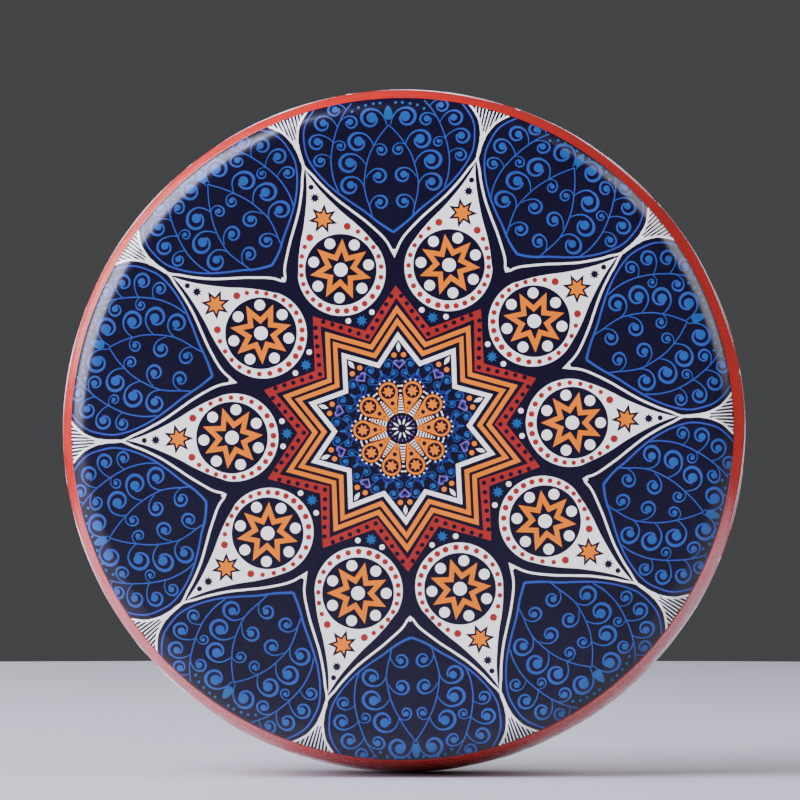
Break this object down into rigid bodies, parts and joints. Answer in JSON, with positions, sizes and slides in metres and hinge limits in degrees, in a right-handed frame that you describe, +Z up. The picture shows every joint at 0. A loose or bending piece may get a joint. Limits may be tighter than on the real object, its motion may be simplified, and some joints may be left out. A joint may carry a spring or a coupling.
{
  "type": "tambourine",
  "caption": "Frame drum with a printed skin on a barrel-sided lacquered hoop, a zigzag band on its open back edge, and loose rings hanging from wire eyes inside.",
  "frame": {"origin": "on the drum's axis, halfway between the skin's face and the back edge, which is the middle of its box", "axes": "+Y along the drum's axis, out of the open back; the skin faces -Y; +Z up with the drum standing on its edge"},
  "size_m": [0.25, 0.058, 0.25],
  "materials": {
    "red_lacquer": "gloss red lacquer with brushed white scrolls on the side",
    "zigzag_inlay": "black and white triangles, polished",
    "printed_skin": "printed in navy, blue, cream, orange and red, satin",
    "aluminium": "satin",
    "steel_wire": "bright drawn wire"
  },
  "bodies": {
    "frame": {"shell_hoop": "red_lacquer", "back_hoop": "red_lacquer", "zigzag_band": "zigzag_inlay", "drum_skin": "printed_skin", "wire_eye_01": "steel_wire", "wire_eye_02": "steel_wire", "wire_eye_03": "steel_wire", "wire_eye_04": "steel_wire", "wire_eye_05": "steel_wire", "wire_eye_06": "steel_wire", "wire_eye_07": "steel_wire", "wire_eye_08": "steel_wire", "wire_eye_09": "steel_wire", "wire_eye_10": "steel_wire", "wire_eye_11": "steel_wire", "wire_eye_12": "steel_wire", "wire_eye_13": "steel_wire", "wire_eye_14": "steel_wire", "wire_eye_15": "steel_wire", "wire_eye_16": "steel_wire", "cup_washer_01": "aluminium", "cup_washer_02": "aluminium", "cup_washer_03": "aluminium", "cup_washer_04": "aluminium", "cup_washer_05": "aluminium", "cup_washer_06": "aluminium", "cup_washer_07": "aluminium", "cup_washer_08": "aluminium", "cup_washer_09": "aluminium", "cup_washer_10": "aluminium", "cup_washer_11": "aluminium", "cup_washer_12": "aluminium", "cup_washer_13": "aluminium", "cup_washer_14": "aluminium", "cup_washer_15": "aluminium", "cup_washer_16": "aluminium"},
    "ring_01": {"jingle_ring_01": "aluminium"},
    "ring_02": {"jingle_ring_02": "aluminium"},
    "ring_03": {"jingle_ring_03": "aluminium"},
    "ring_04": {"jingle_ring_04": "aluminium"},
    "ring_05": {"jingle_ring_05": "aluminium"},
    "ring_06": {"jingle_ring_06": "aluminium"},
    "ring_07": {"jingle_ring_07": "aluminium"},
    "ring_08": {"jingle_ring_08": "aluminium"},
    "ring_09": {"jingle_ring_09": "aluminium"},
    "ring_10": {"jingle_ring_10": "aluminium"},
    "ring_11": {"jingle_ring_11": "aluminium"},
    "ring_12": {"jingle_ring_12": "aluminium"},
    "ring_13": {"jingle_ring_13": "aluminium"},
    "ring_14": {"jingle_ring_14": "aluminium"},
    "ring_15": {"jingle_ring_15": "aluminium"},
    "ring_16": {"jingle_ring_16": "aluminium"}
  },
  "joints": [
    {"name": "ring_01_swing", "type": "hinge", "parent": "frame", "child": "ring_01", "pos_m": [0.01798, 0.015, 0.09038], "axis": [0, 1, 0], "range_deg": [-78.75, 101.25]},
    {"name": "ring_02_swing", "type": "hinge", "parent": "frame", "child": "ring_02", "pos_m": [0.0512, 0.015, 0.07662], "axis": [0, 1, 0], "range_deg": [-56.25, 123.75]},
    {"name": "ring_03_swing", "type": "hinge", "parent": "frame", "child": "ring_03", "pos_m": [0.07662, 0.015, 0.0512], "axis": [0, 1, 0], "range_deg": [-33.75, 146.25]},
    {"name": "ring_04_swing", "type": "hinge", "parent": "frame", "child": "ring_04", "pos_m": [0.09038, 0.015, 0.01798], "axis": [0, 1, 0], "range_deg": [-11.25, 168.75]},
    {"name": "ring_05_swing", "type": "hinge", "parent": "frame", "child": "ring_05", "pos_m": [0.09038, 0.015, -0.01798], "axis": [0, 1, 0], "range_deg": [0, 180]},
    {"name": "ring_06_swing", "type": "hinge", "parent": "frame", "child": "ring_06", "pos_m": [0.07662, 0.015, -0.0512], "axis": [0, 1, 0], "range_deg": [0, 180]},
    {"name": "ring_07_swing", "type": "hinge", "parent": "frame", "child": "ring_07", "pos_m": [0.0512, 0.015, -0.07662], "axis": [0, 1, 0], "range_deg": [0, 180]},
    {"name": "ring_08_swing", "type": "hinge", "parent": "frame", "child": "ring_08", "pos_m": [0.01798, 0.015, -0.09038], "axis": [0, 1, 0], "range_deg": [0, 180]},
    {"name": "ring_09_swing", "type": "hinge", "parent": "frame", "child": "ring_09", "pos_m": [-0.01798, 0.015, -0.09038], "axis": [0, 1, 0], "range_deg": [-180, 0]},
    {"name": "ring_10_swing", "type": "hinge", "parent": "frame", "child": "ring_10", "pos_m": [-0.0512, 0.015, -0.07662], "axis": [0, 1, 0], "range_deg": [-180, 0]},
    {"name": "ring_11_swing", "type": "hinge", "parent": "frame", "child": "ring_11", "pos_m": [-0.07662, 0.015, -0.0512], "axis": [0, 1, 0], "range_deg": [-180, 0]},
    {"name": "ring_12_swing", "type": "hinge", "parent": "frame", "child": "ring_12", "pos_m": [-0.09038, 0.015, -0.01798], "axis": [0, 1, 0], "range_deg": [-180, 0]},
    {"name": "ring_13_swing", "type": "hinge", "parent": "frame", "child": "ring_13", "pos_m": [-0.09038, 0.015, 0.01798], "axis": [0, 1, 0], "range_deg": [-168.75, 11.25]},
    {"name": "ring_14_swing", "type": "hinge", "parent": "frame", "child": "ring_14", "pos_m": [-0.07662, 0.015, 0.0512], "axis": [0, 1, 0], "range_deg": [-146.25, 33.75]},
    {"name": "ring_15_swing", "type": "hinge", "parent": "frame", "child": "ring_15", "pos_m": [-0.0512, 0.015, 0.07662], "axis": [0, 1, 0], "range_deg": [-123.75, 56.25]},
    {"name": "ring_16_swing", "type": "hinge", "parent": "frame", "child": "ring_16", "pos_m": [-0.01798, 0.015, 0.09038], "axis": [0, 1, 0], "range_deg": [-101.25, 78.75]}
  ]
}
